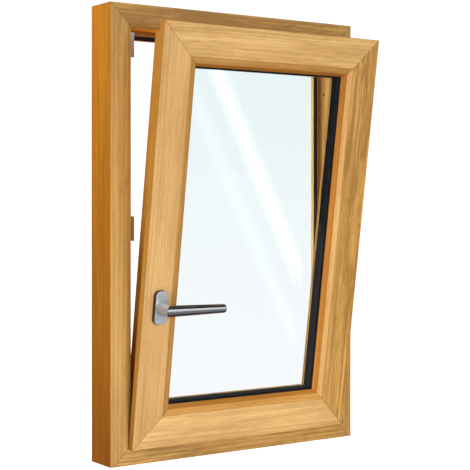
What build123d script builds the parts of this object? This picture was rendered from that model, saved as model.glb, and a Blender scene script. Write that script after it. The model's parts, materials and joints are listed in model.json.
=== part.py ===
"""Tilt-and-turn casement window in oak, sash tilted inward, lever handle level.

Millimetres. +X runs across the width, +Y points to the outside of the wall, +Z is up.
The origin is the middle of the frame's underside. The sash and everything on it is drawn
shut and then swung to its tilted position, which is the rest position of the part.
"""

from build123d import *
from math import asin, cos, degrees, pi, radians, sin
import os

# ---- frame ----
FRAME_WIDTH = 600.0
FRAME_HEIGHT = 900.0
FRAME_DEPTH = 78.0
FACE_WIDTH = 38.0            # flat room-side face of each frame member
BEVEL_DEPTH = 3.0            # shallow bevel between the face and the rebate
REBATE_EDGE = 47.0           # distance from the frame's edge to the rebate surface
STOP_FACE = 54.0             # depth of the stop that the sash shuts against
STOP_TIP = 64.0              # distance from the frame's edge to the stop's tip
STOP_LAND = 9.0              # square part of the stop before its outer bevel
STOP_BEVEL = 12.0            # how far the stop's outer bevel runs back
SILL_PLANED = 6.0            # the sill is planed this much slimmer than the other members
EDGE_ROUND = 1.2
SMALL_ROUND = 1.0
SEAL_EDGE_ROUND = 0.4        # the stop's corner beside its seal
SEAL_INNER = 55.5            # frame edge to the gasket's two edges
SEAL_OUTER = 63.5
SEAL_HEIGHT = 2.7
SEAL_SKIRT = 1.4
RAIL_END_GAP = 1.0           # rain rail: gap to each jamb's stop, sheet thickness, rise over the sill
RAIL_THICKNESS = 1.6
RAIL_START = STOP_FACE + 2.0
RAIL_FOLD = STOP_FACE + 9.7
RAIL_END = FRAME_DEPTH - 0.4
RAIL_FALL = 10.7

# ---- sash ----
LIP_MARGIN = 38.5            # frame edge to the lip of the sash
SASH_PROUD = 17.0            # sash face in front of the frame face when shut
SASH_THICKNESS = 68.0
LIP_THICKNESS = 16.0
LIP_REACH = 20.0             # how far the lip stands out from the sash's edge
SASH_FACE = 62.7             # flat face of a stile or rail, lip edge to bead
BEAD_LAND = 12.5
BEAD_LAND_DROP = 2.0
BEAD_SLOPE = 6.5
BEAD_FOOT_DEPTH = 14.0
BEAD_TOP_DROP = 0.4
CHEEK_SIGHT = 86.4           # lip edge to the outer cheek's edge
CHEEK_DEPTH = 42.0
CHEEK_LAND = 4.0
CHEEK_BEVEL = 16.0
FIT_GAP = 0.2                # clearance between a bead and its rebate
LIP_ROUND = 1.4
BACK_ROUND = 3.0

# ---- glazing unit ----
GLASS_EDGE = 68.7            # lip edge to the edge of the glass
GLASS_DEPTH = 15.5           # sash face to the inner pane
PANE = 4.0
CAVITY = 16.0
SPACER_OUTER = 75.7
SPACER_SIGHT = 85.2
GASKET_START = 72.0          # lip edge to the glazing gaskets
GASKET_LIP = 1.5             # how far the inner glazing gasket shows beyond the bead
BLOCK_LENGTH = 80.0
BLOCKS_UNDER = (-110.0, 110.0)
BLOCK_RIGHT = (200.0, 280.0)
BLOCK_LEFT = (620.0, 700.0)
SASH_SEAL = (3.0, 7.0)       # lip edge to the two edges of the seal behind the lip

# ---- hardware groove round the sash ----
GROOVE_DEPTH = 29.0          # sash face to the middle of the groove
PLATE_WIDTH = 16.0
PLATE_THICKNESS = 2.4
ROD_WIDTH = 12.0
ROD_THICKNESS = 3.0
ROD_TRAVEL = 18.0            # slide of the rod for a quarter turn of the handle
SLIDING_GAP = 0.3
CAM_RADIUS = 3.5
CAM_TIP = 12.6               # lip edge to the tip of a cam
CAM_CHAMFER = 0.8
PLATE_SCREW_LENGTH = 15.0
PLATE_SCREW_HEIGHTS = (90.0, 240.0, 500.0, 640.0, 817.0)
PLATE_ENDS = (72.0, 826.0)
PLATE_INSET = LIP_REACH + 0.2
ROD_ENDS = (84.0, 812.0)
CAM_SLOT_GAP = 0.6           # cam to the side of its slot
CAM_SLOT_SPARE = 1.0         # cam to the end of its slot at full travel
ROD_SLOT_HALF = 2.4          # the rod's slots pass the faceplate screws
ROD_SLOT_SPARE = 3.0
GROOVE_STEP = 3.0            # depths of the stepped groove from the sash's edge
GROOVE_FLOOR = 9.0
BOX_BACK = 53.0              # lip edge to the back of the gearbox case
BOX_HALF_HEIGHT = 46.0
BOX_ROOM_SPARE = 0.5
GUIDE_FLANGE = (-62.0, 22.0)
GUIDE_CHANNEL = (-45.0, 5.0)
GUIDE_DEPTH = 16.0           # sash edge to the bottom of the guide
GUIDE_HALF = 6.1
GUIDE_WALL = 0.8
GUIDE_END_WALL = 2.0
GUIDE_SCREWS_X = (-54.0, 14.0)

# ---- handle ----
SPINDLE_INSET = 35.5         # lip edge to the spindle
SPINDLE_HEIGHT = 283.0       # lip's bottom edge to the spindle
SPINDLE_SIZE = 7.0
ROSETTE_WIDTH = 28.0
ROSETTE_HEIGHT = 66.0
ROSETTE_THICKNESS = 9.5
ROSETTE_WALL = 1.5
ROSETTE_CORNER = 11.0
ROSETTE_RIM = 1.2
ROSETTE_SCREW_PITCH = 43.0
BASE_THICKNESS = 6.0
NECK_ROOT_RADIUS = 12.6      # where the neck flares out over the rosette
NECK_RADIUS = 11.0
NECK_START = 0.6             # sash face to the neck's end inside the rosette
LEVER_STANDOFF = 38.0        # sash face to the lever's centre line
LEVER_LENGTH = 127.0
LEVER_END_RADIUS = 8.5
LEVER_TIP_ROUND = 2.0
SET_SCREW_RADIUS = 2.0
SET_SCREW_STANDOFF = 20.0    # sash face to the set screw, which is driven from below
SPINDLE_REACH = 25.5         # sash face to the room end of the spindle
SPINDLE_END = 7.5            # groove's middle to the other end
PINION_TEETH = 12
PINION_TIP = 8.9
PINION_ROOT = 7.2
PINION_WIDTH = 8.0
SPINDLE_BORE = 5.6
SPINDLE_ROOM = 6.5

# ---- hinge side ----
TURN_AXIS_X = 267.5
AXIS_PROUD = 6.0             # both hinge axes lie this far in front of the frame face
TILT_AXIS_Z = 38.0
HINGE_PIN_RADIUS = 1.8
PIN_FIT = 0.05               # radial running clearance of the hinge pins
KNUCKLE_RADIUS = 3.4
BEARING_THICKNESS = 2.2
BEARING_SIDES = (-3.0, 6.0)  # the bearing plates reach from here to here beside the turn axis
BEARING_WEB = 2.6
BEARING_SCREW_OFFSET = 1.5
BEARING_SCREW_HEIGHTS = (89.0, 102.0, 782.0, 795.0)
CORNER_PLATE = (60.2, 108.0)
CORNER_KNUCKLE = (60.2, 80.0)
CORNER_PIN = (46.0, 81.5)
STAY_PLATE = (776.0, 835.0)
STAY_KNUCKLE = (815.0, 835.0)
STAY_PIN = (813.5, 849.0)
POST = (31.0, 59.6)          # foot and top of the corner carrier
POST_RADIUS = 3.3
TILT_PIN_REACH = (5.0, 3.0)  # into the sash and beyond the turn axis
TILT_PIN_ROOM = 2.4
BRACKET_THICKNESS = 1.9
BRACKET_DEPTHS = (3.5, 13.0)
BRACKET_HEIGHTS = (33.5, 59.0)
BRACKET_SCREW_DEPTH = 8.0
BRACKET_SCREW_HEIGHTS = (47.5, 55.5)
ARM_LENGTH = 300.0           # stay arm, pivot to stud
ARM_HEIGHT = 847.0
ARM_THICKNESS = 3.0
ARM_WIDTH = 12.0
ARM_CRANK = (-2.2, 3.4)      # the cranked end lies between these depths from the turn axis
ARM_BENDS = (249.0, 238.0, 231.0, 243.5)
ARM_NOTCH = (841.0, 853.0)
ARM_NOTCH_START = 228.0
ARM_NOTCH_DEPTH = 8.5
STAY_POCKET = (-46.0, 6.0)
STAY_POCKET_DEPTH = 16.5
STUD_RADIUS = 3.0
STUD_BOTTOM = 829.0
TILT_OPEN = 8.55             # degrees

# ---- fixings ----
WALL_SCREW_RADIUS = 3.1
WALL_SCREW_SPACING = 600.0
WALL_SCREW_MIDDLE = 450.0
WALL_SCREW_WEB = 5.0         # the holes stop this short of the outer side, which stays plain
KEEPER_LENGTH = 48.0
KEEPER_BASE = 3.0
KEEPER_HEIGHT = 7.6
KEEPER_REAR_HEIGHT = 5.0
KEEPER_DEPTHS = (3.6, 24.0)  # frame face to the keeper's front and rear
KEEPER_LIP = 4.0
KEEPER_REAR = 2.0
KEEPER_SCREW_DEPTH = 16.5
UPPER_KEEPER_Z = 820.0
MIDDLE_KEEPER_Z = 461.0
LOWER_CAM_Z = 128.0
OVERCUT = 1.0                # cutting bodies stand out this far, so that no skin is left

# ---- derived places ----
ROOM_Y = -FRAME_DEPTH / 2
SASH_Y = ROOM_Y - SASH_PROUD
FRAME_EDGES = (-FRAME_WIDTH / 2, FRAME_WIDTH / 2, -SILL_PLANED, FRAME_HEIGHT)
SASH_EDGES = (
    FRAME_EDGES[0] + LIP_MARGIN,
    FRAME_EDGES[1] - LIP_MARGIN,
    FRAME_EDGES[2] + LIP_MARGIN,
    FRAME_EDGES[3] - LIP_MARGIN,
)
SASH_LEFT, SASH_RIGHT, SASH_BOTTOM, SASH_TOP = SASH_EDGES
AXIS_Y = ROOM_Y - AXIS_PROUD
GROOVE_Y = SASH_Y + GROOVE_DEPTH
SPINDLE_X = SASH_LEFT + SPINDLE_INSET
SPINDLE_Z = SASH_BOTTOM + SPINDLE_HEIGHT
REBATE_X = -FRAME_WIDTH / 2 + REBATE_EDGE
ROD_OUTER = LIP_REACH + 3.3
ROD_INNER = ROD_OUTER + ROD_THICKNESS
CAM_CLEARANCE = 7.5          # a cam in its middle position waits this far below its keeper
CAM_HEIGHTS = (
    UPPER_KEEPER_Z - KEEPER_LENGTH / 2 - CAM_CLEARANCE,
    MIDDLE_KEEPER_Z - KEEPER_LENGTH / 2 - CAM_CLEARANCE,
    LOWER_CAM_Z,
)
SIDES = ("left", "right", "bottom", "top")
MITRE_REACH = 150.0
ON_BASE = (Align.CENTER, Align.CENTER, Align.MIN)

# ---- screws: head middle to tip, shank, head radius and depth of the countersink ----
STANDARD = {"shank": 1.7, "top": 3.4, "drop": 2.0}
ROSETTE = {"shank": 2.2, "top": 4.2, "drop": 2.0}
SMALL = {"shank": 1.4, "top": 2.6, "drop": 1.6}
KEEPER_SCREW_LENGTH = 22.0
BEARING_SCREW_LENGTH = 20.0
ROSETTE_SCREW_LENGTH = 40.0
GUIDE_SCREW_LENGTH = 20.0
BRACKET_SCREW_LENGTH = 12.0
DRIVE_SLOT_WIDTH = 0.7
DRIVE_SLOT_DEPTH = 1.0
DRIVE_SLOT_SHARE = 1.1       # length of the cross recess to the head's radius

parts = {}


# ---- helpers ----
def section(points, rounds=()):
    """A flat section in (inset, depth); rounds lists (corner number, radius)."""
    face = make_face(Polyline(*points, close=True))
    for corner, radius in rounds:
        target = Vector(*points[corner])
        near = [v for v in face.vertices() if (Vector(v) - target).length < 0.01]
        face = fillet(near, radius)
    return face


def member_plane(edges, side, front):
    """Plane on a side of a rectangle: its x axis points inward and its y axis to the outside."""
    left, right, bottom, top = edges
    middle_x = (left + right) / 2
    middle_z = (bottom + top) / 2
    planes = {
        "left": ((left, front, middle_z), (1, 0, 0), (0, 0, 1)),
        "right": ((right, front, middle_z), (-1, 0, 0), (0, 0, -1)),
        "bottom": ((middle_x, front, bottom), (0, 0, 1), (-1, 0, 0)),
        "top": ((middle_x, front, top), (0, 0, -1), (1, 0, 0)),
    }
    origin, inward, along = planes[side]
    return Plane(origin, x_dir=inward, z_dir=along)


def member(profile, edges, side, front):
    """One mitred member: a section run along a side of the rectangle given by edges."""
    left, right, bottom, top = edges
    length = top - bottom if side in ("left", "right") else right - left
    run = member_plane(edges, side, front) * extrude(profile, length / 2, both=True)
    reach = MITRE_REACH
    corners = {
        "lower left": (left, bottom, reach, reach),
        "lower right": (right, bottom, -reach, reach),
        "upper left": (left, top, reach, -reach),
        "upper right": (right, top, -reach, -reach),
    }
    ends = {
        "left": ("lower left", "upper left"),
        "right": ("lower right", "upper right"),
        "bottom": ("lower left", "lower right"),
        "top": ("upper left", "upper right"),
    }
    (x1, z1, in_x1, in_z1), (x2, z2, in_x2, in_z2) = [corners[end] for end in ends[side]]
    outline = [(x1, z1), (x2, z2), (x2 + in_x2, z2 + in_z2), (x1 + in_x1, z1 + in_z1)]
    wedge = extrude(Plane.XZ * make_face(Polyline(*outline, close=True)), FRAME_DEPTH * 2, both=True)
    return run & wedge


def welded_ring(profile, edges, front):
    """A seal or spacer with welded corners, one closed ring."""
    ring = member(profile, edges, "left", front)
    for side in SIDES[1:]:
        ring += member(profile, edges, side, front)
    return ring


def block(x, y, z):
    """A box given by its (low, high) pairs."""
    size = [high - low for low, high in (x, y, z)]
    middle = [(low + high) / 2 for low, high in (x, y, z)]
    return Pos(*middle) * Box(*size)


def rod(start, end, radius):
    """A round bar from start to end."""
    along = Vector(*end) - Vector(*start)
    return Plane(start, z_dir=along) * Cylinder(radius, along.length, align=ON_BASE)


def screw_room(head, direction, length, shank, top, drop):
    """The hole that a countersunk screw fills; direction points into the work."""
    cone = Cone(top, shank, drop, align=ON_BASE)
    stem = Cylinder(shank, length - drop, align=ON_BASE)
    return Plane(head, z_dir=direction) * (cone + Pos(0, 0, drop) * stem)


def screw(head, direction, length, shank, top, drop):
    """A countersunk screw with a cross recess; head is the middle of its flat top."""
    reach = DRIVE_SLOT_SHARE * top
    across = Box(reach, DRIVE_SLOT_WIDTH, DRIVE_SLOT_DEPTH)
    cross = across + Box(DRIVE_SLOT_WIDTH, reach, DRIVE_SLOT_DEPTH)
    return screw_room(head, direction, length, shank, top, drop) - Plane(head, z_dir=direction) * cross


def group(solids):
    """Separate solids kept together in one node."""
    return Compound(list(solids))


# ---- fixed frame ----
def frame_profile():
    points = [
        (0, 0),
        (FACE_WIDTH, 0),
        (REBATE_EDGE, BEVEL_DEPTH),
        (REBATE_EDGE, STOP_FACE),
        (STOP_TIP, STOP_FACE),
        (STOP_TIP, STOP_FACE + STOP_LAND),
        (STOP_TIP - STOP_BEVEL, FRAME_DEPTH),
        (0, FRAME_DEPTH),
    ]
    rounds = [(0, EDGE_ROUND), (2, SMALL_ROUND), (4, SEAL_EDGE_ROUND)]
    rounds += [(5, 1.5 * SMALL_ROUND), (6, 1.5 * SMALL_ROUND), (7, EDGE_ROUND)]
    return section(points, rounds)


def frame_gasket_profile():
    back = STOP_FACE
    skirt = STOP_FACE - SEAL_SKIRT
    front = STOP_FACE - SEAL_HEIGHT
    return section([
        (SEAL_INNER, back),
        (SEAL_INNER, skirt),
        (SEAL_INNER + 2, front),
        (SEAL_OUTER - 2, front),
        (SEAL_OUTER, skirt),
        (SEAL_OUTER, back),
    ])


def wall_screw_holes():
    """Holes for the wall screws, one rod through both rebates at each height."""
    reach = FRAME_WIDTH / 2 - WALL_SCREW_WEB
    holes = []
    for offset in (-WALL_SCREW_SPACING / 2, WALL_SCREW_SPACING / 2):
        height = WALL_SCREW_MIDDLE + offset
        holes.append(rod((-reach, 0, height), (reach, 0, height), WALL_SCREW_RADIUS))
    return holes


def keeper_screw_places():
    """Head middle of each keeper screw on the left rebate."""
    x = REBATE_X + KEEPER_BASE
    y = ROOM_Y + KEEPER_SCREW_DEPTH
    places = []
    for middle in (UPPER_KEEPER_Z, MIDDLE_KEEPER_Z, LOWER_CAM_Z):
        for offset in (-KEEPER_LENGTH / 3, KEEPER_LENGTH / 3):
            places.append((x, y, middle + offset))
    return places


def bearing_screw_places():
    """Head middle of each bearing screw on the frame's face."""
    x = TURN_AXIS_X + BEARING_SCREW_OFFSET
    return [(x, ROOM_Y - BEARING_THICKNESS, z) for z in BEARING_SCREW_HEIGHTS]


def keeper_screw(make, place):
    return make(place, (-1, 0, 0), KEEPER_SCREW_LENGTH, **STANDARD)


def bearing_screw(make, place):
    return make(place, (0, 1, 0), BEARING_SCREW_LENGTH, **STANDARD)


def build_frame():
    keeper_rooms = [keeper_screw(screw_room, place) for place in keeper_screw_places()]
    bearing_rooms = [bearing_screw(screw_room, place) for place in bearing_screw_places()]
    profile = frame_profile()
    names = {
        "left": "frame_left_jamb",
        "right": "frame_right_jamb",
        "bottom": "frame_sill",
        "top": "frame_head",
    }
    cuts = {"left": wall_screw_holes() + keeper_rooms, "right": wall_screw_holes() + bearing_rooms}
    below = block((-FRAME_WIDTH, FRAME_WIDTH), (-FRAME_DEPTH, FRAME_DEPTH), (-FRAME_DEPTH, 0))
    for side in SIDES:
        piece = member(profile, FRAME_EDGES, side, ROOM_Y) - below
        for cut in cuts.get(side, []):
            piece -= cut
        parts[names[side]] = piece
    parts["frame_gasket"] = welded_ring(frame_gasket_profile(), FRAME_EDGES, ROOM_Y)


def build_rain_rail():
    """Folded aluminium rail over the sill's outer bevel."""
    low = STOP_TIP - SILL_PLANED
    under = low + 0.1
    over = under + RAIL_THICKNESS
    outline = [
        (RAIL_START, under),
        (RAIL_FOLD, under),
        (RAIL_END, under - RAIL_FALL),
        (RAIL_END, under - RAIL_FALL + 2.2),
        (RAIL_FOLD + 0.7, over),
        (RAIL_START, over),
    ]
    half = FRAME_WIDTH / 2 - STOP_TIP - RAIL_END_GAP
    side_view = Plane((0, ROOM_Y, 0), x_dir=(0, 1, 0), z_dir=(1, 0, 0))
    face = side_view * make_face(Polyline(*outline, close=True))
    parts["rain_rail"] = extrude(face, half, both=True)


def keeper(middle, full_height):
    """A steel keeper on the left rebate; the locking cams slide up behind its lip."""
    z = (middle - KEEPER_LENGTH / 2, middle + KEEPER_LENGTH / 2)
    front, rear = [ROOM_Y + depth for depth in KEEPER_DEPTHS]
    piece = block((REBATE_X, REBATE_X + KEEPER_BASE), (front, rear), z)
    piece += block((REBATE_X, REBATE_X + KEEPER_REAR_HEIGHT), (rear - KEEPER_REAR, rear), z)
    if full_height:
        piece += block((REBATE_X, REBATE_X + KEEPER_HEIGHT), (front, front + KEEPER_LIP), z)
    return piece


def build_keepers():
    places = keeper_screw_places()
    rooms = [keeper_screw(screw_room, place) for place in places]
    heights = {
        "keeper_upper": UPPER_KEEPER_Z,
        "keeper_middle": MIDDLE_KEEPER_Z,
        "tilt_keeper": LOWER_CAM_Z,
    }
    for name, middle in heights.items():
        piece = keeper(middle, name != "tilt_keeper")
        for room in rooms:
            piece -= room
        parts[name] = piece
    parts["keeper_screws"] = group(keeper_screw(screw, place) for place in places)


def on_turn_axis(z, radius):
    """A round bar on the turn axis between two heights."""
    low, high = z
    return rod((TURN_AXIS_X, AXIS_Y, low), (TURN_AXIS_X, AXIS_Y, high), radius)


def bearing(plate_z, knuckle_z):
    """A slim bearing plate on the frame's face with its knuckle on the turn axis."""
    plate_y = ROOM_Y - BEARING_THICKNESS
    near, far = [TURN_AXIS_X + side for side in BEARING_SIDES]
    plate = block((near, far), (plate_y, ROOM_Y), plate_z)
    web = block((TURN_AXIS_X - BEARING_WEB, TURN_AXIS_X + BEARING_WEB), (AXIS_Y, plate_y), knuckle_z)
    piece = plate + on_turn_axis(knuckle_z, KNUCKLE_RADIUS) + web
    piece -= on_turn_axis(knuckle_z, HINGE_PIN_RADIUS)
    for place in bearing_screw_places():
        piece -= bearing_screw(screw_room, place)
    return piece


def build_bearings():
    parts["corner_bearing"] = bearing(CORNER_PLATE, CORNER_KNUCKLE)
    parts["stay_bearing"] = bearing(STAY_PLATE, STAY_KNUCKLE)
    parts["corner_bearing_pin"] = on_turn_axis(CORNER_PIN, HINGE_PIN_RADIUS)
    parts["stay_bearing_pin"] = on_turn_axis(STAY_PIN, HINGE_PIN_RADIUS)
    parts["bearing_screws"] = group(bearing_screw(screw, place) for place in bearing_screw_places())


# ---- hinge carrier: turns on the corner bearing and holds the tilt pin ----
def build_carrier():
    post = on_turn_axis(POST, POST_RADIUS)
    socket = on_turn_axis((CORNER_PIN[0] - OVERCUT, POST[1] + OVERCUT), HINGE_PIN_RADIUS + PIN_FIT)
    into_sash, beyond_axis = TILT_PIN_REACH
    start = (SASH_RIGHT - into_sash, AXIS_Y, TILT_AXIS_Z)
    pin = rod(start, (TURN_AXIS_X + beyond_axis, AXIS_Y, TILT_AXIS_Z), HINGE_PIN_RADIUS)
    parts["corner_carrier"] = post - socket - pin
    parts["tilt_pin"] = pin


# ---- stay arm ----
def stay_arm_angle():
    """Turn of the arm from shut to fully tilted, in degrees, so that its stud follows the groove."""
    side = GROOVE_Y - AXIS_Y
    rise = SASH_TOP - LIP_REACH - TILT_AXIS_Z
    opened = side * cos(radians(TILT_OPEN)) - rise * sin(radians(TILT_OPEN))
    return degrees(asin(side / ARM_LENGTH) - asin(opened / ARM_LENGTH))


def stud_place():
    side = GROOVE_Y - AXIS_Y
    return TURN_AXIS_X - (ARM_LENGTH**2 - side**2) ** 0.5, GROOVE_Y


def build_stay_arm():
    swing = Axis((TURN_AXIS_X, AXIS_Y, 0), (0, 0, 1))
    stud_x, stud_y = stud_place()
    half = ARM_WIDTH / 2
    near, far = [AXIS_Y + depth for depth in ARM_CRANK]
    outline = [
        (TURN_AXIS_X, near),
        (TURN_AXIS_X, far),
        (ARM_BENDS[0], far),
        (ARM_BENDS[1], stud_y + half),
        (stud_x - half, stud_y + half),
        (stud_x - half, stud_y - half),
        (ARM_BENDS[2], stud_y - half),
        (ARM_BENDS[3], near),
    ]
    base = ARM_HEIGHT - ARM_THICKNESS / 2
    top = ARM_HEIGHT + ARM_THICKNESS / 2
    bar = extrude(Pos(0, 0, base) * make_face(Polyline(*outline, close=True)), ARM_THICKNESS)
    ends = bar.edges().filter_by(Axis.Z).group_by(Axis.X)[0]
    bar = fillet(ends, half - 0.5)
    eye = on_turn_axis((STAY_KNUCKLE[1] + 0.6, top), KNUCKLE_RADIUS)
    bore = on_turn_axis((STAY_KNUCKLE[1], top + OVERCUT), HINGE_PIN_RADIUS + PIN_FIT)
    stud = rod((stud_x, stud_y, STUD_BOTTOM), (stud_x, stud_y, top + 1.0), STUD_RADIUS)
    arm = bar + eye - bore - stud
    angle = stay_arm_angle()
    parts["stay_arm"] = arm.rotate(swing, angle)
    parts["stay_arm_stud"] = stud.rotate(swing, angle)


# ---- sash ----
def sash_profile():
    edge = LIP_REACH
    step = edge + GROOVE_STEP
    bottom = edge + GROOVE_FLOOR
    cheek_in = CHEEK_DEPTH + CHEEK_LAND
    wide = PLATE_WIDTH / 2 + SLIDING_GAP
    narrow = ROD_WIDTH / 2 + SLIDING_GAP
    points = [
        (0, 0),
        (SASH_FACE, 0),
        (SASH_FACE, CHEEK_DEPTH),
        (CHEEK_SIGHT, CHEEK_DEPTH),
        (CHEEK_SIGHT, cheek_in),
        (CHEEK_SIGHT - CHEEK_BEVEL, SASH_THICKNESS),
        (edge, SASH_THICKNESS),
        (edge, GROOVE_DEPTH + wide),
        (step, GROOVE_DEPTH + wide),
        (step, GROOVE_DEPTH + narrow),
        (bottom, GROOVE_DEPTH + narrow),
        (bottom, GROOVE_DEPTH - narrow),
        (step, GROOVE_DEPTH - narrow),
        (step, GROOVE_DEPTH - wide),
        (edge, GROOVE_DEPTH - wide),
        (edge, LIP_THICKNESS),
        (0, LIP_THICKNESS),
    ]
    rounds = [(0, LIP_ROUND), (4, SMALL_ROUND), (5, EDGE_ROUND), (6, BACK_ROUND), (16, SMALL_ROUND)]
    return section(points, rounds)


def bead_profile():
    points = [
        (SASH_FACE + FIT_GAP, BEAD_TOP_DROP),
        (SASH_FACE + BEAD_LAND, BEAD_LAND_DROP),
        (SASH_FACE + BEAD_LAND + BEAD_SLOPE, BEAD_FOOT_DEPTH),
        (SASH_FACE + FIT_GAP, BEAD_FOOT_DEPTH),
    ]
    return section(points, [(1, SMALL_ROUND)])


def spindle_room():
    start = (SPINDLE_X, SASH_Y - OVERCUT, SPINDLE_Z)
    end = (SPINDLE_X, GROOVE_Y + SPINDLE_END + 1.5, SPINDLE_Z)
    return rod(start, end, SPINDLE_ROOM)


def gearbox_room():
    half = ROD_WIDTH / 2 + SLIDING_GAP
    x = (SASH_LEFT + LIP_REACH + GROOVE_FLOOR - 1, SASH_LEFT + BOX_BACK + BOX_ROOM_SPARE)
    reach = BOX_HALF_HEIGHT + BOX_ROOM_SPARE
    return block(x, (GROOVE_Y - half, GROOVE_Y + half), (SPINDLE_Z - reach, SPINDLE_Z + reach))


def rosette_screw_places():
    y = SASH_Y - BASE_THICKNESS
    return [(SPINDLE_X, y, SPINDLE_Z + side * ROSETTE_SCREW_PITCH / 2) for side in (-1, 1)]


def faceplate_screw_places():
    return [(SASH_LEFT + PLATE_INSET, GROOVE_Y, z) for z in PLATE_SCREW_HEIGHTS]


def bracket_screw_places():
    x = SASH_RIGHT + BRACKET_THICKNESS
    return [(x, SASH_Y + BRACKET_SCREW_DEPTH, z) for z in BRACKET_SCREW_HEIGHTS]


def stay_notch():
    """Pocket in the back of the lip where the cranked end of the stay arm passes."""
    back = SASH_Y + LIP_THICKNESS
    x = (ARM_NOTCH_START, SASH_RIGHT + OVERCUT)
    return block(x, (back - ARM_NOTCH_DEPTH, back + OVERCUT), ARM_NOTCH)


def stay_pocket():
    half = ROD_WIDTH / 2 + SLIDING_GAP
    edge = SASH_TOP - LIP_REACH
    return block(STAY_POCKET, (GROOVE_Y - half, GROOVE_Y + half), (edge - STAY_POCKET_DEPTH, edge - 1))


def rosette_screw(make, place):
    return make(place, (0, 1, 0), ROSETTE_SCREW_LENGTH, **ROSETTE)


def plate_screw(make, place):
    return make(place, (1, 0, 0), PLATE_SCREW_LENGTH, **STANDARD)


def bracket_screw(make, place):
    return make(place, (-1, 0, 0), BRACKET_SCREW_LENGTH, **SMALL)


def guide_screw(make, place):
    return make(place, (0, 0, -1), GUIDE_SCREW_LENGTH, **STANDARD)


def sash_rooms():
    """What is cut out of each sash member for its hardware."""
    start = (SASH_RIGHT - TILT_PIN_REACH[0] - OVERCUT, AXIS_Y, TILT_AXIS_Z)
    pin_room = rod(start, (SASH_RIGHT + OVERCUT, AXIS_Y, TILT_AXIS_Z), TILT_PIN_ROOM)
    rosette = [rosette_screw(screw_room, place) for place in rosette_screw_places()]
    plate = [plate_screw(screw_room, place) for place in faceplate_screw_places()]
    bracket = [bracket_screw(screw_room, place) for place in bracket_screw_places()]
    return {
        "left": [spindle_room(), gearbox_room()] + rosette + plate,
        "right": [stay_notch(), pin_room] + bracket,
        "bottom": [pin_room],
        "top": [stay_pocket(), stay_notch()],
    }


def build_sash_timber():
    profile = sash_profile()
    rooms = sash_rooms()
    names = {
        "left": "sash_left_stile",
        "right": "sash_right_stile",
        "bottom": "sash_bottom_rail",
        "top": "sash_top_rail",
    }
    for side in SIDES:
        piece = member(profile, SASH_EDGES, side, SASH_Y)
        for room in rooms[side]:
            piece -= room
        parts[names[side]] = piece
    bead = bead_profile()
    for side in SIDES:
        parts["glazing_bead_" + side] = member(bead, SASH_EDGES, side, SASH_Y)


def pane(front):
    x = (SASH_LEFT + GLASS_EDGE, SASH_RIGHT - GLASS_EDGE)
    z = (SASH_BOTTOM + GLASS_EDGE, SASH_TOP - GLASS_EDGE)
    return block(x, (SASH_Y + front, SASH_Y + front + PANE), z)


def strip_profile(inner, outer, front, back):
    return section([(inner, front), (outer, front), (outer, back), (inner, back)])


def build_glazing():
    cavity_front = GLASS_DEPTH + PANE
    cavity_back = cavity_front + CAVITY
    unit_back = cavity_back + PANE
    foot = SASH_FACE + BEAD_LAND + BEAD_SLOPE
    parts["inner_pane"] = pane(GLASS_DEPTH)
    parts["outer_pane"] = pane(cavity_back)
    rings = {
        "glass_spacer": strip_profile(SPACER_OUTER, SPACER_SIGHT, cavity_front, cavity_back),
        "glass_edge_seal": strip_profile(GLASS_EDGE, SPACER_OUTER, cavity_front, cavity_back),
        "inner_glazing_gasket": strip_profile(GASKET_START, foot + GASKET_LIP, BEAD_FOOT_DEPTH, GLASS_DEPTH),
        "outer_glazing_gasket": strip_profile(GASKET_START, SPACER_SIGHT, unit_back, CHEEK_DEPTH),
        "sash_gasket": strip_profile(*SASH_SEAL, LIP_THICKNESS, LIP_THICKNESS + 1.5),
    }
    for name, profile in rings.items():
        parts[name] = welded_ring(profile, SASH_EDGES, SASH_Y)
    build_setting_blocks(unit_back)


def build_setting_blocks(unit_back):
    """Packers between the glass edge and the timber, two under it and one at each side."""
    y = (SASH_Y + GLASS_DEPTH, SASH_Y + unit_back)
    rebate = SASH_BOTTOM + SASH_FACE
    glass = SASH_BOTTOM + GLASS_EDGE
    half = BLOCK_LENGTH / 2
    blocks = [block((middle - half, middle + half), y, (rebate, glass)) for middle in BLOCKS_UNDER]
    blocks.append(block((SASH_RIGHT - GLASS_EDGE, SASH_RIGHT - SASH_FACE), y, BLOCK_RIGHT))
    blocks.append(block((SASH_LEFT + SASH_FACE, SASH_LEFT + GLASS_EDGE), y, BLOCK_LEFT))
    parts["setting_blocks"] = group(blocks)


# ---- sash hardware ----
def build_faceplate():
    front = SASH_LEFT + PLATE_INSET
    back = front + PLATE_THICKNESS
    half = PLATE_WIDTH / 2
    plate = block((front, back), (GROOVE_Y - half, GROOVE_Y + half), PLATE_ENDS)
    reach = ROD_TRAVEL + CAM_RADIUS + CAM_SLOT_SPARE
    slot_half = CAM_RADIUS + CAM_SLOT_GAP
    slot = (GROOVE_Y - slot_half, GROOVE_Y + slot_half)
    for height in CAM_HEIGHTS:
        plate -= block((front - OVERCUT, back + OVERCUT), slot, (height - reach, height + reach))
    for place in faceplate_screw_places():
        plate -= plate_screw(screw_room, place)
    parts["faceplate"] = plate
    parts["faceplate_screws"] = group(plate_screw(screw, place) for place in faceplate_screw_places())


def through_box(height, reach, radius):
    """A round bar across the gearbox at a height, reaching evenly to both sides of its middle."""
    return rod((SPINDLE_X, GROOVE_Y - reach, height), (SPINDLE_X, GROOVE_Y + reach, height), radius)


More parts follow.
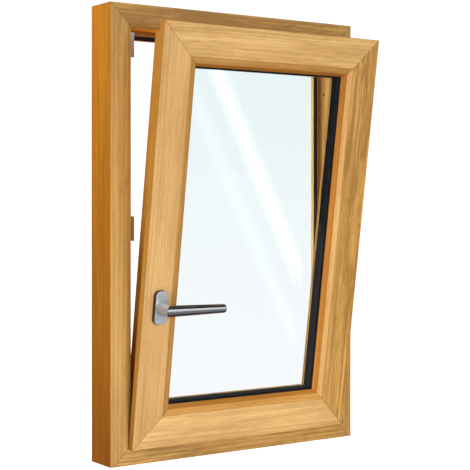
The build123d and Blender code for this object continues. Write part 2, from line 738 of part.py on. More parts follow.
def build_gearbox():
    """Casing behind the faceplate; the pinion turns in it on the handle's spindle."""
    half = ROD_WIDTH / 2
    x = (SASH_LEFT + LIP_REACH + GROOVE_FLOOR - 0.6, SASH_LEFT + BOX_BACK)
    z = (SPINDLE_Z - BOX_HALF_HEIGHT, SPINDLE_Z + BOX_HALF_HEIGHT)
    case = block(x, (GROOVE_Y - half, GROOVE_Y + half), z)
    case -= through_box(SPINDLE_Z, PINION_WIDTH / 2 + 0.6, PINION_TIP + 1.3)
    case -= through_box(SPINDLE_Z, half + OVERCUT, SPINDLE_BORE)
    for side in (-1, 1):
        screw_z = SPINDLE_Z + side * ROSETTE_SCREW_PITCH / 2
        case -= through_box(screw_z, half + OVERCUT, ROSETTE["shank"] + SLIDING_GAP)
    parts["gearbox_case"] = case


def build_stay_guide():
    """Channel let into the top rail; the stud of the stay arm slides in it."""
    top = SASH_TOP - PLATE_INSET
    floor = SASH_TOP - LIP_REACH - GUIDE_DEPTH
    half = PLATE_WIDTH / 2
    clear = GUIDE_HALF - GUIDE_WALL
    start, end = GUIDE_CHANNEL
    flange = block(GUIDE_FLANGE, (GROOVE_Y - half, GROOVE_Y + half), (top - PLATE_THICKNESS, top))
    channel = block((start, end), (GROOVE_Y - GUIDE_HALF, GROOVE_Y + GUIDE_HALF), (floor, top - 1.0))
    inside_x = (start + GUIDE_END_WALL, end - GUIDE_END_WALL)
    inside = block(inside_x, (GROOVE_Y - clear, GROOVE_Y + clear), (floor + 1.0, top + OVERCUT))
    guide = flange + channel - inside
    places = [(x, GROOVE_Y, top) for x in GUIDE_SCREWS_X]
    for place in places:
        room = guide_screw(screw_room, place)
        guide -= room
        parts["sash_top_rail"] -= room
    parts["stay_guide"] = guide
    parts["stay_guide_screws"] = group(guide_screw(screw, place) for place in places)


def build_tilt_bracket():
    """Plate on the sash's hinge edge with the bore that rides on the tilt pin."""
    x = (SASH_RIGHT, SASH_RIGHT + BRACKET_THICKNESS)
    y = [SASH_Y + depth for depth in BRACKET_DEPTHS]
    plate = block(x, y, BRACKET_HEIGHTS)
    start = (x[0] - OVERCUT, AXIS_Y, TILT_AXIS_Z)
    plate -= rod(start, (x[1] + OVERCUT, AXIS_Y, TILT_AXIS_Z), HINGE_PIN_RADIUS + PIN_FIT)
    for place in bracket_screw_places():
        plate -= bracket_screw(screw_room, place)
    parts["tilt_bracket"] = plate
    parts["tilt_bracket_screws"] = group(bracket_screw(screw, place) for place in bracket_screw_places())


def build_drive_rod():
    half = ROD_WIDTH / 2
    x = (SASH_LEFT + ROD_OUTER, SASH_LEFT + ROD_INNER)
    bar = block(x, (GROOVE_Y - half, GROOVE_Y + half), ROD_ENDS)
    slot = (GROOVE_Y - ROD_SLOT_HALF, GROOVE_Y + ROD_SLOT_HALF)
    reach = ROD_TRAVEL + ROD_SLOT_SPARE
    for height in PLATE_SCREW_HEIGHTS:
        bar -= block((x[0] - OVERCUT, x[1] + OVERCUT), slot, (height - reach, height + reach))
    cams = []
    for height in CAM_HEIGHTS:
        tip = (SASH_LEFT + CAM_TIP, GROOVE_Y, height)
        root = (SASH_LEFT + ROD_OUTER, GROOVE_Y, height)
        roller = rod(tip, root, CAM_RADIUS)
        rim = roller.edges().group_by(Axis.X)[0]
        cams.append(chamfer(rim, CAM_CHAMFER))
    parts["drive_rod"] = bar
    parts["locking_cams"] = group(cams)


# ---- handle ----
def rosette_outline(inset):
    width = ROSETTE_WIDTH - 2 * inset
    height = ROSETTE_HEIGHT - 2 * inset
    return RectangleRounded(width, height, ROSETTE_CORNER - inset)


def room_plane(standoff):
    """Plane parallel to the sash face at the spindle, facing the room."""
    return Plane((SPINDLE_X, SASH_Y - standoff, SPINDLE_Z), x_dir=(1, 0, 0), z_dir=(0, -1, 0))


def build_rosette():
    cover = extrude(room_plane(0) * rosette_outline(0), ROSETTE_THICKNESS)
    rim = cover.faces().sort_by(Axis.Y)[0].edges()
    cover = fillet(rim, ROSETTE_RIM)
    hollow = extrude(room_plane(0) * rosette_outline(ROSETTE_WALL), ROSETTE_THICKNESS - ROSETTE_WALL)
    mouth = extrude(room_plane(0) * Circle(NECK_RADIUS + SLIDING_GAP), ROSETTE_THICKNESS + OVERCUT)
    parts["rosette_cover"] = cover - hollow - mouth
    base = extrude(room_plane(0) * rosette_outline(ROSETTE_WALL + FIT_GAP), BASE_THICKNESS)
    base -= extrude(room_plane(0) * Circle(NECK_RADIUS + PIN_FIT), BASE_THICKNESS + OVERCUT)
    for place in rosette_screw_places():
        base -= rosette_screw(screw_room, place)
    parts["rosette_base"] = base
    parts["rosette_screws"] = group(rosette_screw(screw, place) for place in rosette_screw_places())


def build_neck():
    """Neck that leaves the rosette with a flare, cut at 45 degrees where the lever begins."""
    neck = extrude(room_plane(NECK_START) * Circle(NECK_RADIUS), LEVER_STANDOFF + NECK_RADIUS)
    flare_start = ROSETTE_THICKNESS + FIT_GAP
    flare_length = LEVER_STANDOFF - NECK_RADIUS - flare_start
    neck += room_plane(flare_start) * Cone(NECK_ROOT_RADIUS, NECK_RADIUS, flare_length, align=ON_BASE)
    opening = SPINDLE_SIZE + 2 * PIN_FIT
    socket = extrude(room_plane(0) * Rectangle(opening, opening), SPINDLE_REACH + 0.5)
    y = SASH_Y - SET_SCREW_STANDOFF
    tip = (SPINDLE_X, y, SPINDLE_Z - opening / 2)
    bore = rod((SPINDLE_X, y, SPINDLE_Z - 2 * NECK_RADIUS), tip, SET_SCREW_RADIUS)
    parts["handle_neck"] = neck - lever_side() - socket - bore
    parts["handle_set_screw"] = rod((SPINDLE_X, y, SPINDLE_Z - NECK_RADIUS + 0.6), tip, SET_SCREW_RADIUS)


def lever_side():
    """Everything on the lever's side of the mitre between neck and lever."""
    corner = Vector(SPINDLE_X, SASH_Y - LEVER_STANDOFF, SPINDLE_Z)
    mitre = Plane(corner, x_dir=(0, 0, 1), z_dir=(1, -1, 0))
    size = LEVER_LENGTH * 2
    return extrude(mitre * Rectangle(size, size), size)


def build_lever():
    """Round lever that tapers to a rounded end."""
    taper = Cone(NECK_RADIUS, LEVER_END_RADIUS, LEVER_LENGTH, align=ON_BASE)
    tip = taper.faces().sort_by(Axis.Z)[-1].edges()
    taper = fillet(tip, LEVER_TIP_ROUND)
    stub = Cylinder(NECK_RADIUS, 2 * NECK_RADIUS, align=(Align.CENTER, Align.CENTER, Align.MAX))
    start = (SPINDLE_X, SASH_Y - LEVER_STANDOFF, SPINDLE_Z)
    lever = Plane(start, z_dir=(1, 0, 0)) * (taper + stub)
    parts["handle_lever"] = lever & lever_side()


def build_spindle():
    half = SPINDLE_SIZE / 2
    y = (SASH_Y - SPINDLE_REACH, GROOVE_Y + SPINDLE_END)
    spindle = block((SPINDLE_X - half, SPINDLE_X + half), y, (SPINDLE_Z - half, SPINDLE_Z + half))
    parts["handle_spindle"] = chamfer(spindle.edges().filter_by(Axis.Y), 0.5)


def build_pinion():
    """Toothed wheel on the spindle; its tips stop short of the drive rod."""
    tooth_shape = [(0.0, PINION_ROOT), (0.2, PINION_ROOT)]
    tooth_shape += [(0.33, PINION_TIP), (0.57, PINION_TIP), (0.7, PINION_ROOT)]
    outline = []
    for tooth in range(PINION_TEETH):
        for share, radius in tooth_shape:
            angle = 2 * pi * (tooth + share) / PINION_TEETH
            outline.append((radius * cos(angle), radius * sin(angle)))
    wheel = extrude(make_face(Polyline(*outline, close=True)), PINION_WIDTH / 2, both=True)
    wheel -= Box(SPINDLE_SIZE, SPINDLE_SIZE, PINION_WIDTH + 2 * OVERCUT)
    middle = Plane((SPINDLE_X, GROOVE_Y, SPINDLE_Z), x_dir=(1, 0, 0), z_dir=(0, -1, 0))
    parts["drive_pinion"] = middle * wheel


# ---- rest position and files ----
def tilt_sash(names):
    """Swing the shut sash inward to its tilted rest position."""
    hinge = Axis((0, AXIS_Y, TILT_AXIS_Z), (1, 0, 0))
    for name in names:
        parts[name] = parts[name].rotate(hinge, TILT_OPEN)


build_frame()
build_rain_rail()
build_keepers()
build_bearings()
build_carrier()
build_stay_arm()
fixed_names = set(parts)
build_sash_timber()
build_glazing()
build_faceplate()
build_gearbox()
build_stay_guide()
build_tilt_bracket()
build_drive_rod()
build_rosette()
build_neck()
build_lever()
build_spindle()
build_pinion()
tilt_sash(sorted(set(parts) - fixed_names))

os.makedirs("parts", exist_ok=True)
for name, shape in parts.items():
    export_step(shape, "parts/" + name + ".step")
print(len(parts), "nodes; stay arm swings", round(stay_arm_angle(), 3), "degrees")
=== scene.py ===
"""Looks of the tilt-and-turn oak window: materials, floor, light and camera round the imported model."""

import json
import math

import bpy
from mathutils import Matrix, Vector


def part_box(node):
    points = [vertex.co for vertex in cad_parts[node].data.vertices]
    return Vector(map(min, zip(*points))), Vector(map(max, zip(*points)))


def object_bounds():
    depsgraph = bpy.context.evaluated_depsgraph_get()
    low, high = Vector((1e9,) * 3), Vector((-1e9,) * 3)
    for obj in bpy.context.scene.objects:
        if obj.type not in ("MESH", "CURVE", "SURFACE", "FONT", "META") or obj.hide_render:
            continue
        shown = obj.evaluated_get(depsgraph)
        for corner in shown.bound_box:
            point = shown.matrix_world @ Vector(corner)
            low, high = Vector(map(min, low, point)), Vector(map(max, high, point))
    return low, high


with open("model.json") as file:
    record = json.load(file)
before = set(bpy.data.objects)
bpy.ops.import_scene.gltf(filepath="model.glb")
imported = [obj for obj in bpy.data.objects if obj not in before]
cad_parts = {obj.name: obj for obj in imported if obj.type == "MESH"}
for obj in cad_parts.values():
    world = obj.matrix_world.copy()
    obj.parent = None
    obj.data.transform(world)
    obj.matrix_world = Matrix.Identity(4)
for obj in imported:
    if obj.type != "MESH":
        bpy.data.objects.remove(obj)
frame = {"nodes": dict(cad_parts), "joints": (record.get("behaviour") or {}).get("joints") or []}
cad_low, cad_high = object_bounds()

# ---- camera, in metres and degrees ----
CAMERA_PLACE = (-1.480, -2.178, 0.511)
CAMERA_TURN = -34.52
CAMERA_LENS = 96.6
CAMERA_SHIFT = -0.068

# ---- light ----
WORLD_LIGHT = 0.40             # on matt surfaces
WORLD_GLOSS = 0.04             # in reflections, so that metal and glass keep their depth
SKY_HIGH = (1.13, 1.10, 1.10)  # colour seen behind the window, upper part
SKY_LOW = (1.28, 1.15, 1.15)   # the same, lower part
SKY_SPAN = (0.10, -0.15)       # rise of the view, as a sine, at which each of the two is reached
FLOOR_SIZE = 14.0
STREAK_CARD_Y = -1.3           # the card that the glass mirrors stands in front and to the right
STREAK_LEAN = math.radians(34.6)
STREAK_PLACE = 0.866           # across the card, measured at right angles to the streaks
STREAK_WIDTH = 0.034
FAINT_OFFSET = -0.105          # from the main streak to the faint one
FAINT_WIDTH = 1.2 * STREAK_WIDTH
STREAK_GLOW = 2.6
FAINT_GLOW = 0.55
LAMPS = (                      # name, place, target, size, watts, seen in reflections
    ("key", (-0.6, -5.0, 0.6), (0.0, 0.0, 0.45), (3.0, 3.0), 186, True),
    ("side_top", (-1.6, 0.6, 1.5), (-0.3, 0.0, 0.85), (0.7, 0.7), 22, False),
    ("bounce", (-0.1, -0.9, 0.04), (0.0, -0.05, 0.95), (1.2, 0.7), 6, False),
    ("behind", (-0.12, 0.5, 0.45), (0.27, 0.0, 0.45), (0.25, 0.8), 4.5, False),
    ("under_head", (-0.15, 0.45, 0.30), (-0.20, 0.0, 0.86), (0.4, 0.3), 1.8, False),
)

# ---- oak: linear base colours of dark and light figure, how bold the figure is, kind of edge face, which gets a deeper stain and painted shading ----
OAK = {
    "frame_left_jamb": ((0.42, 0.220, 0.052), (0.62, 0.345, 0.094), 0.55, "outer"),
    "frame_right_jamb": ((0.38, 0.185, 0.040), (0.53, 0.290, 0.078), 0.60, "inner"),
    "frame_sill": ((0.30, 0.145, 0.028), (0.64, 0.350, 0.088), 1.00, "warm"),
    "frame_head": ((0.35, 0.175, 0.036), (0.64, 0.355, 0.086), 1.00, "reveal"),
    "sash_left_stile": ((0.49, 0.265, 0.076), (0.64, 0.375, 0.130), 0.35, "warm"),
    "sash_right_stile": ((0.34, 0.165, 0.030), (0.70, 0.385, 0.100), 1.00, "warm"),
    "sash_bottom_rail": ((0.53, 0.295, 0.095), (0.77, 0.470, 0.175), 0.60, "warm"),
    "sash_top_rail": ((0.50, 0.275, 0.082), (0.73, 0.450, 0.160), 0.70, "warm"),
    # glazing_bead_left is kept darker than the other beads: painted shade for its slope, which faces away
    # from the light
    "glazing_bead_left": ((0.34, 0.150, 0.026), (0.48, 0.240, 0.052), 0.40, "warm"),
    "glazing_bead_right": ((0.56, 0.290, 0.080), (0.72, 0.415, 0.145), 0.40, "orange"),
    "glazing_bead_bottom": ((0.47, 0.210, 0.036), (0.63, 0.320, 0.072), 0.40, "warm"),
    "glazing_bead_top": ((0.33, 0.145, 0.025), (0.47, 0.235, 0.050), 0.50, "warm"),
}
EDGE_STAIN_AND_SHADING = {                     # top of the window, foot of the window: multipliers for the edge faces, partly a deeper stain, partly painted shade and painted light; the change from foot to top is painted shading
    # outer: painted shade on the side faces of the left jamb, darker towards the foot
    "outer": ((1.02, 0.70, 0.12), (0.90, 0.52, 0.06)),
    # inner: painted light, lifting the inner face of the right jamb far above its own colour
    "inner": ((1.75, 1.80, 1.80), (1.70, 1.70, 1.60)),
    # reveal: painted light on the underside of the head, more orange
    "reveal": ((1.55, 0.84, 0.20), (1.55, 0.84, 0.20)),
    # warm and orange: partly a deeper stain, partly painted shade on the edge faces
    "warm": ((0.98, 0.72, 0.30), (1.00, 0.78, 0.36)),
    "orange": ((0.90, 0.62, 0.24), (0.92, 0.64, 0.26)),
}
WINDOW_HEIGHT = cad_high[2]
LOG_HEARTS = (                     # where the heart of each member's log lies, from its middle, in metres
    (0.060, 0.045),
    (-0.045, 0.060),
    (0.025, -0.070),
    (-0.075, 0.035),
)
RING_SCALE = 44.0
LONG_GRAIN = 0.045                 # squeeze along the grain, for rings, streaks and bands
SHORT_GRAIN = 0.18                 # the same for patches and mottles
FIBRE_GRAIN = 0.45                 # further share of SHORT_GRAIN kept by the fine fibres
STREAK_WEIGHT = 0.62
PATCH_WEIGHT = 0.40
FIBRE_WEIGHT = 0.48
BAND_WEIGHT = -0.16                # a member's boldness multiplies this and the next
MOTTLE_WEIGHT = -0.20
FIGURE_RANGE = (0.62, 1.00)        # sums of the weighted layers that count as dark and as light
PORE_SHARE = 0.35
GLUE_SHARE = 0.6
GLUE_LINE = 0.0006                 # the glue line is darkest within half of this from a mitre
MITRE_FACE = 2e-5                  # square metres; smaller slanted faces belong to screw holes
TIMBER_ROUGHNESS = (0.46, 0.34)    # between the fibres, on the fibres


class Paint:
    """A material under construction."""

    def __init__(self, name):
        self.material = bpy.data.materials.new(name)
        self.material.use_nodes = True
        self.tree = self.material.node_tree
        self.surface = self.tree.nodes["Principled BSDF"]

    def node(self, kind, inputs=None, **settings):
        made = self.tree.nodes.new("ShaderNode" + kind)
        for key, value in settings.items():
            setattr(made, key, value)
        for socket, value in (inputs or {}).items():
            self.feed(made.inputs[socket], value)
        return made

    def feed(self, target, value):
        if isinstance(value, bpy.types.NodeSocket):
            self.tree.links.new(value, target)
        else:
            target.default_value = value

    def finish(self, **inputs):
        """Sets sockets of the surface shader; an underscore in a name stands for a space."""
        for socket, value in inputs.items():
            self.feed(self.surface.inputs[socket.replace("_", " ")], value)
        return self.material

    def calculate(self, operation, first, second=0.0, third=0.0):
        made = self.node("Math", {0: first, 1: second, 2: third}, operation=operation)
        return made.outputs[0]

    def place(self):
        return self.node("TexCoord").outputs["Object"]

    def mapped(self, vector, location=(0, 0, 0), rotation=(0, 0, 0), scale=(1, 1, 1)):
        inputs = {"Vector": vector, "Location": location, "Rotation": rotation, "Scale": scale}
        return self.node("Mapping", inputs).outputs[0]

    def noise(self, vector, scale, detail=3.0, roughness=0.55, distortion=0.0):
        inputs = {"Vector": vector, "Scale": scale, "Detail": detail, "Roughness": roughness}
        inputs["Distortion"] = distortion
        return self.node("TexNoise", inputs).outputs["Fac"]

    def graded(self, factor, low, high, start=0.0, end=1.0):
        """factor from low to high, spread from start to end."""
        inputs = {"Value": factor, "From Min": low, "From Max": high, "To Min": start, "To Max": end}
        return self.node("MapRange", inputs).outputs[0]

    def blend(self, factor, first, second, kind="MIX"):
        made = self.node("Mix", data_type="RGBA", blend_type=kind)
        self.feed(made.inputs["Factor"], factor)
        colours = [socket for socket in made.inputs if socket.type == "RGBA"]
        for socket, value in zip(colours, (first, second)):
            self.feed(socket, value if isinstance(value, bpy.types.NodeSocket) else (*value, 1.0))
        return [socket for socket in made.outputs if socket.type == "RGBA"][0]

    def bump(self, height, strength, distance):
        return self.node("Bump", {"Height": height, "Strength": strength, "Distance": distance}).outputs[0]


# ---- timber ----
def sash_tilt():
    """How far the sash leans from shut at rest, in radians."""
    joint = next(j for j in frame["joints"] if j["name"] == "sash_tilt")
    return math.radians(-joint["range_deg"][0])


def is_upright(node):
    return node.endswith(("jamb", "stile", "left", "right"))


def aligned(paint, node):
    """Coordinates with the grain along Z, the member's width along X and its depth along Y."""
    lean = 0.0 if node.startswith("frame") else sash_tilt()
    lie = 0.0 if is_upright(node) else math.radians(90)
    return paint.mapped(paint.place(), rotation=(-lean, lie, 0.0))


def mitre_planes(node):
    """Normal and offset of each 45 degree end face of a member."""
    mesh = frame["nodes"][node].data
    planes = {}
    for face in mesh.polygons:
        normal = face.normal
        slanted = abs(abs(normal.x) - math.sqrt(0.5)) < 0.002 and abs(normal.z) > 0.6
        if slanted and face.area > MITRE_FACE:
            offset = normal.dot(mesh.vertices[face.vertices[0]].co)
            planes[tuple(round(value, 3) for value in normal)] = (tuple(normal), offset)
    return list(planes.values())


def joint_share(paint, node):
    """1 in the glue line of a mitre, 0 elsewhere."""
    nearest = 1.0
    for normal, offset in mitre_planes(node):
        along = paint.node("VectorMath", {0: paint.place(), 1: normal}, operation="DOT_PRODUCT")
        gap = paint.calculate("SUBTRACT", along.outputs["Value"], offset)
        nearest = paint.calculate("MINIMUM", nearest, paint.calculate("ABSOLUTE", gap))
    return paint.graded(nearest, 2.0 * GLUE_LINE, 0.5 * GLUE_LINE)


def edge_stain_and_shading(paint, tints):
    """Deeper stain plus painted shade and painted light for a member's edge faces, from the foot of the
    window to its top.
    """
    top, foot = EDGE_STAIN_AND_SHADING[tints]
    height = paint.node("SeparateXYZ", {0: paint.place()}).outputs["Z"]
    return paint.blend(paint.graded(height, 0.0, WINDOW_HEIGHT), foot, top)


def edge_share(paint):
    """0 on faces that look to the room or the outside, 1 on the edges of a member; it places the painted
    shading of the oak's and the rosette's side faces.
    """
    normal = paint.node("TexCoord").outputs["Normal"]
    facing = paint.calculate("ABSOLUTE", paint.node("SeparateXYZ", {0: normal}).outputs["Y"])
    return paint.graded(facing, 0.90, 0.45)


def grain(paint, node, number):
    """Coordinates in a member's log, strongly squeezed along the grain, and the same less squeezed."""
    low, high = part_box(node)
    middle = (low + high) / 2
    width = middle.x if is_upright(node) else middle.z
    heart = LOG_HEARTS[number % len(LOG_HEARTS)]
    shift = (-width - heart[0], -middle.y - heart[1], 0.37 * number)
    centred = paint.mapped(aligned(paint, node), location=shift)
    long_grain = paint.mapped(centred, scale=(1, 1, LONG_GRAIN))
    short_grain = paint.mapped(centred, scale=(1, 1, SHORT_GRAIN))
    return long_grain, short_grain


def figure_of(paint, long_grain, short_grain, bold):
    """0 in the dark figure of the timber, 1 in the light; also the fine fibres on their own."""
    years = paint.calculate("MULTIPLY", paint.noise(long_grain, 26.0, 3.0), 30.0)
    wave = {"Vector": long_grain, "Scale": RING_SCALE, "Distortion": 1.6, "Phase Offset": years}
    rings = paint.node("TexWave", wave, wave_type="RINGS", rings_direction="Z").outputs["Fac"]
    streaks = paint.noise(long_grain, 85.0, 5.0, 0.65)
    fibres = paint.noise(paint.mapped(short_grain, scale=(1, 1, FIBRE_GRAIN)), 420.0, 4.0, 0.65)
    patches = paint.noise(short_grain, 18.0, 4.0)
    bands = paint.graded(paint.noise(long_grain, 38.0, 3.0, 0.6, 0.4), 0.54, 0.66)
    mottles = paint.graded(paint.noise(short_grain, 34.0, 6.0, 0.68, 0.9), 0.50, 0.66)
    faint_rings = paint.calculate("MULTIPLY", rings, paint.graded(patches, 0.35, 0.65, 0.03, 0.22))
    figure = paint.calculate("MULTIPLY_ADD", streaks, STREAK_WEIGHT, faint_rings)
    figure = paint.calculate("MULTIPLY_ADD", patches, PATCH_WEIGHT, figure)
    figure = paint.calculate("MULTIPLY_ADD", fibres, FIBRE_WEIGHT, figure)
    figure = paint.calculate("MULTIPLY_ADD", bands, BAND_WEIGHT * bold, figure)
    figure = paint.calculate("MULTIPLY_ADD", mottles, MOTTLE_WEIGHT * bold, figure)
    return paint.graded(figure, *FIGURE_RANGE), fibres


def oak(node, number):
    """Lacquered oak: rings, streaks, darker bands and mottles, open pores, a glue line in each mitre, and
    edge faces with a deeper stain plus painted shade and painted light.
    """
    paint = Paint("oak_" + node)
    dark, light, bold, tints = OAK[node]
    long_grain, short_grain = grain(paint, node, number)
    share, fibres = figure_of(paint, long_grain, short_grain, bold)
    pores = paint.graded(paint.noise(long_grain, 1300.0, 2.0), 0.60, 0.70)
    deep = [0.45 * channel for channel in dark]
    colour = paint.blend(share, dark, light)
    colour = paint.blend(paint.calculate("MULTIPLY", pores, PORE_SHARE), colour, deep)
    tint = edge_stain_and_shading(paint, tints)
    # edge faces: partly a deeper stain, partly painted shade and painted light
    colour = paint.blend(edge_share(paint), colour, paint.blend(1.0, colour, tint, "MULTIPLY"))
    colour = paint.blend(paint.calculate("MULTIPLY", joint_share(paint, node), GLUE_SHARE), colour, deep)
    relief = paint.calculate("MULTIPLY_ADD", pores, -1.0, paint.calculate("MULTIPLY", fibres, 0.4))
    return paint.finish(
        Base_Color=colour,
        Roughness=paint.graded(fibres, 0.3, 0.7, *TIMBER_ROUGHNESS),
        Specular_IOR_Level=0.35,
        Normal=paint.bump(relief, 0.35, 0.0003),
        Coat_Weight=0.08,
        Coat_Roughness=0.25,
    )


# ---- glass, seals and metal ----
def glass():
    return Paint("clear_glass").finish(
        Base_Color=(0.927, 0.992, 1.0, 1.0),
        Roughness=0.0,
        IOR=1.5,
        Specular_IOR_Level=0.15,
        Transmission_Weight=1.0,
    )


def rubber():
    paint = Paint("black_rubber")
    grain = paint.noise(paint.place(), 900.0, 3.0)
    return paint.finish(
        Base_Color=paint.blend(grain, (0.006, 0.006, 0.007), (0.014, 0.014, 0.016)),
        Roughness=paint.graded(grain, 0.3, 0.7, 0.62, 0.78),
        Specular_IOR_Level=0.2,
        Normal=paint.bump(grain, 0.3, 0.0002),
    )


def spacer():
    paint = Paint("black_spacer")
    grain = paint.noise(paint.place(), 400.0, 2.0)
    return paint.finish(
        Base_Color=paint.blend(grain, (0.004, 0.0045, 0.006), (0.010, 0.011, 0.015)),
        Roughness=paint.graded(grain, 0.3, 0.7, 0.45, 0.6),
        Specular_IOR_Level=0.2,
        Normal=paint.bump(grain, 0.15, 0.0001),
    )


def moulded_plastic():
    paint = Paint("grey_plastic")
    grain = paint.noise(paint.place(), 1500.0, 2.0)
    return paint.finish(
        Base_Color=paint.blend(grain, (0.055, 0.057, 0.062), (0.085, 0.088, 0.094)),
        Roughness=paint.graded(grain, 0.3, 0.7, 0.5, 0.62),
        Normal=paint.bump(grain, 0.2, 0.0001),
    )


def brushed(name, base, stretch, roughness, metallic=1.0, side_shade_share=1.0):
    """Metal with fine scratches along one axis; stretch squeezes the pattern along it.

    metallic is below 1 for a satin finish that also scatters light softly.
    The side share is a painted shade: how bright the faces beside the front are, against the front.
    """
    paint = Paint(name)
    lines = paint.noise(paint.mapped(paint.place(), scale=stretch), SCRATCHES, 4.0, 0.7)
    cloud = paint.noise(paint.place(), 60.0, 2.0)
    dark = [0.82 * channel for channel in base]
    colour = paint.blend(lines, dark, base)
    # painted shade on the faces beside the front
    if side_shade_share < 1.0:
        shaded = [side_shade_share * channel for channel in dark]
        colour = paint.blend(edge_share(paint), colour, shaded)
    low, high = roughness
    return paint.finish(
        Base_Color=colour,
        Metallic=metallic,
        Roughness=paint.graded(paint.calculate("MULTIPLY_ADD", cloud, 0.4, lines), 0.4, 1.0, low, high),
        Normal=paint.bump(lines, 0.12, 0.00005),
    )


def zinc():
    """Zinc-plated steel: faint crystals and a dull shine."""
    paint = Paint("zinc_steel")
    crystals = paint.node("TexVoronoi", {"Vector": paint.place(), "Scale": 260.0}).outputs["Color"]
    tone = paint.node("SeparateXYZ", {0: crystals}).outputs["X"]
    fine = paint.noise(paint.place(), 700.0, 3.0)
    return paint.finish(
        Base_Color=paint.blend(tone, (0.34, 0.37, 0.43), (0.45, 0.48, 0.54)),
        Metallic=1.0,
        Roughness=paint.graded(paint.calculate("MULTIPLY_ADD", tone, 0.3, fine), 0.2, 1.0, 0.30, 0.48),
        Normal=paint.bump(fine, 0.1, 0.00005),
    )


STAINLESS = (0.64, 0.67, 0.71)
SCRATCHES = 900.0
UPRIGHT_BRUSH = (1.0, 1.0, 0.03)
LEVEL_BRUSH = (0.03, 1.0, 1.0)


def dress(node, material):
    """Gives a CAD node one material."""
    slots = frame["nodes"][node].data.materials
    slots.clear()
    slots.append(material)


def dress_all():
    for number, node in enumerate(OAK):
        dress(node, oak(node, number))
    shared = {
        glass(): ("inner_pane", "outer_pane"),
        rubber(): ("frame_gasket", "sash_gasket", "inner_glazing_gasket", "outer_glazing_gasket"),
        spacer(): ("glass_spacer", "glass_edge_seal"),
        moulded_plastic(): ("setting_blocks", "rosette_base"),
        brushed("rail_aluminium", (0.62, 0.60, 0.57), LEVEL_BRUSH, (0.30, 0.42)): ("rain_rail",),
        # the rosette cover's side faces get painted shade, a tenth as bright as the front
        brushed("stainless_upright", STAINLESS, UPRIGHT_BRUSH, (0.26, 0.38), 0.6, 0.10): ("rosette_cover",),
        brushed("stainless_level", STAINLESS, LEVEL_BRUSH, (0.16, 0.26)): ("handle_lever",),
        brushed("stainless_dull", STAINLESS, LEVEL_BRUSH, (0.36, 0.48), 0.6): ("handle_neck",),
    }
    dressed = set(OAK)
    for material, nodes in shared.items():
        for node in nodes:
            dress(node, material)
            dressed.add(node)
    plated = zinc()
    for node in sorted(set(frame["nodes"]) - dressed):
        dress(node, plated)
    for node in ("inner_pane", "outer_pane"):
        frame["nodes"][node].visible_shadow = False


# ---- floor, light and camera ----
def build_floor():
    half = FLOOR_SIZE / 2
    corners = [(-half, -half, 0), (half, -half, 0), (half, half, 0), (-half, half, 0)]
    mesh = bpy.data.meshes.new("floor")
    mesh.from_pydata(corners, [], [(0, 1, 2, 3)])
    floor = bpy.data.objects.new("floor", mesh)
    bpy.context.scene.collection.objects.link(floor)
    paint = Paint("floor_white")
    speck = paint.noise(paint.place(), 40.0, 2.0)
    mesh.materials.append(paint.finish(
        Base_Color=paint.blend(speck, (0.88, 0.88, 0.88), (0.92, 0.92, 0.92)),
        Roughness=0.9,
        Emission_Color=(1.0, 1.0, 1.0, 1.0),
        Emission_Strength=0.85,
    ))
    floor.visible_diffuse = False
    floor.visible_glossy = False
    floor.visible_transmission = False


def area_light(name, place, target, size, power, mirrored):
    """A soft rectangular lamp that neither the camera nor the glass shows."""
    data = bpy.data.lights.new(name, "AREA")
    data.shape = "RECTANGLE"
    data.size, data.size_y = size
    data.energy = power
    lamp = bpy.data.objects.new(name, data)
    bpy.context.scene.collection.objects.link(lamp)
    lamp.location = place
    lamp.rotation_euler = (Vector(target) - Vector(place)).to_track_quat("-Z", "Y").to_euler()
    lamp.visible_camera = False
    lamp.visible_transmission = False
    lamp.visible_glossy = mirrored


def level_at(tree, path, depth, before, after):
    """before until a path has bounced once in the named way, after from then on."""
    chosen = tree.nodes.new("ShaderNodeMix")
    chosen.data_type = "RGBA"
    tree.links.new(path.outputs[depth], chosen.inputs["Factor"])
    first, second = [socket for socket in chosen.inputs if socket.type == "RGBA"]
    tree.links.new(before, first)
    second.default_value = (after, after, after, 1.0)
    return [socket for socket in chosen.outputs if socket.type == "RGBA"][0]


def build_world():
    """White where it is seen, softer where it lights matt surfaces, and dim in reflections."""
    world = bpy.data.worlds.new("studio")
    world.use_nodes = True
    world.cycles.sampling_method = "NONE"
    tree = world.node_tree
    place = tree.nodes.new("ShaderNodeTexCoord").outputs["Generated"]
    axes = tree.nodes.new("ShaderNodeSeparateXYZ")
    tree.links.new(place, axes.inputs[0])
    rise = tree.nodes.new("ShaderNodeMapRange")
    tree.links.new(axes.outputs["Z"], rise.inputs["Value"])
    rise.inputs["From Min"].default_value, rise.inputs["From Max"].default_value = SKY_SPAN
    sky = tree.nodes.new("ShaderNodeMix")
    sky.data_type = "RGBA"
    tree.links.new(rise.outputs[0], sky.inputs["Factor"])
    first, second = [socket for socket in sky.inputs if socket.type == "RGBA"]
    first.default_value = (*SKY_HIGH, 1.0)
    second.default_value = (*SKY_LOW, 1.0)
    colour = [socket for socket in sky.outputs if socket.type == "RGBA"][0]
    path = tree.nodes.new("ShaderNodeLightPath")
    colour = level_at(tree, path, "Glossy Depth", colour, WORLD_GLOSS)
    colour = level_at(tree, path, "Diffuse Depth", colour, WORLD_LIGHT)
    tree.links.new(colour, tree.nodes["Background"].inputs["Color"])
    bpy.context.scene.world = world


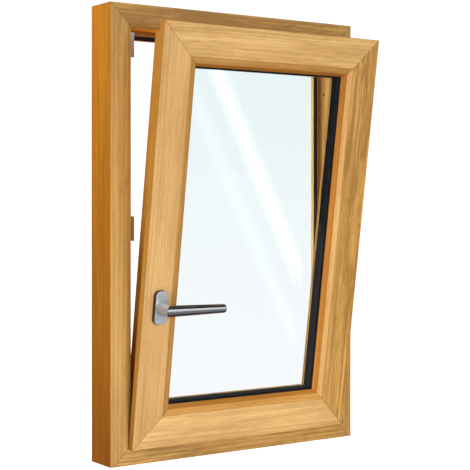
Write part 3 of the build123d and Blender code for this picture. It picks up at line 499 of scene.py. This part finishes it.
def build_card(name, corners, paint, mirrored_by="GLOSSY"):
    """A glowing card: metal and lacquer mirror a GLOSSY one, the glass shows a TRANSMISSION one."""
    mesh = bpy.data.meshes.new(name)
    mesh.from_pydata(corners, [], [tuple(range(len(corners)))])
    card = bpy.data.objects.new(name, mesh)
    bpy.context.scene.collection.objects.link(card)
    mesh.materials.append(paint.material)
    card.visible_camera = False
    card.visible_diffuse = False
    card.visible_shadow = False
    card.visible_glossy = mirrored_by == "GLOSSY"
    card.visible_transmission = mirrored_by == "TRANSMISSION"


def glowing(name, strength):
    paint = Paint(name)
    paint.finish(Base_Color=(0, 0, 0, 1), Emission_Color=(1, 1, 1, 1), Emission_Strength=strength)
    return paint


def ridge(paint, across, middle, width):
    """1 along a line, falling smoothly to 0 at a width to each side."""
    away = paint.calculate("ABSOLUTE", paint.calculate("SUBTRACT", across, middle))
    inputs = {"Value": away, "From Min": width, "From Max": 0.0}
    return paint.node("MapRange", inputs, interpolation_type="SMOOTHSTEP").outputs[0]


def build_streak_card():
    """Two soft strips, which the inner surfaces of the glass show as its slanting streaks."""
    paint = Paint("streak_card")
    axes = paint.node("SeparateXYZ", {0: paint.place()})
    sideways = paint.calculate("MULTIPLY", axes.outputs["X"], math.cos(STREAK_LEAN))
    across = paint.calculate("MULTIPLY_ADD", axes.outputs["Z"], math.sin(STREAK_LEAN), sideways)
    main = ridge(paint, across, STREAK_PLACE, STREAK_WIDTH)
    faint = ridge(paint, across, STREAK_PLACE + FAINT_OFFSET, FAINT_WIDTH)
    faint_glow = paint.calculate("MULTIPLY", faint, FAINT_GLOW)
    glow = paint.calculate("MULTIPLY_ADD", main, STREAK_GLOW, faint_glow)
    paint.finish(Base_Color=(0, 0, 0, 1), Emission_Color=(1, 1, 1, 1), Emission_Strength=glow)
    outline = ((0.57, 0.57), (1.00, 0.57), (1.20, -0.52), (0.67, -0.52))
    build_card("streak_card", [(x, STREAK_CARD_Y, z) for x, z in outline], paint, "TRANSMISSION")


def build_metal_cards():
    """A tall bright card far off and a dimmer one near the floor, for the bands along the lever."""
    tall = [(1.2, -4.0, 0.12), (4.6, -4.0, 0.12), (4.6, -4.0, 3.3), (1.2, -4.0, 3.3)]
    build_card("tall_card", tall, glowing("tall_card", 1.1))
    low = [(-0.15, -0.28, 0.0), (0.5, -0.28, 0.0), (1.8, -2.2, 0.0), (0.9, -2.2, 0.0)]
    build_card("low_card", low, glowing("low_card", 0.22))


def build_lights():
    build_world()
    build_streak_card()
    build_metal_cards()
    for lamp in LAMPS:
        area_light(*lamp)


def build_camera():
    data = bpy.data.cameras.new("camera")
    data.lens = CAMERA_LENS
    data.shift_y = CAMERA_SHIFT
    camera = bpy.data.objects.new("camera", data)
    bpy.context.scene.collection.objects.link(camera)
    camera.location = CAMERA_PLACE
    camera.rotation_euler = (math.radians(90), 0, math.radians(CAMERA_TURN))
    bpy.context.scene.camera = camera


dress_all()
build_floor()
build_lights()
build_camera()
bpy.context.scene.view_settings.view_transform = "Standard"
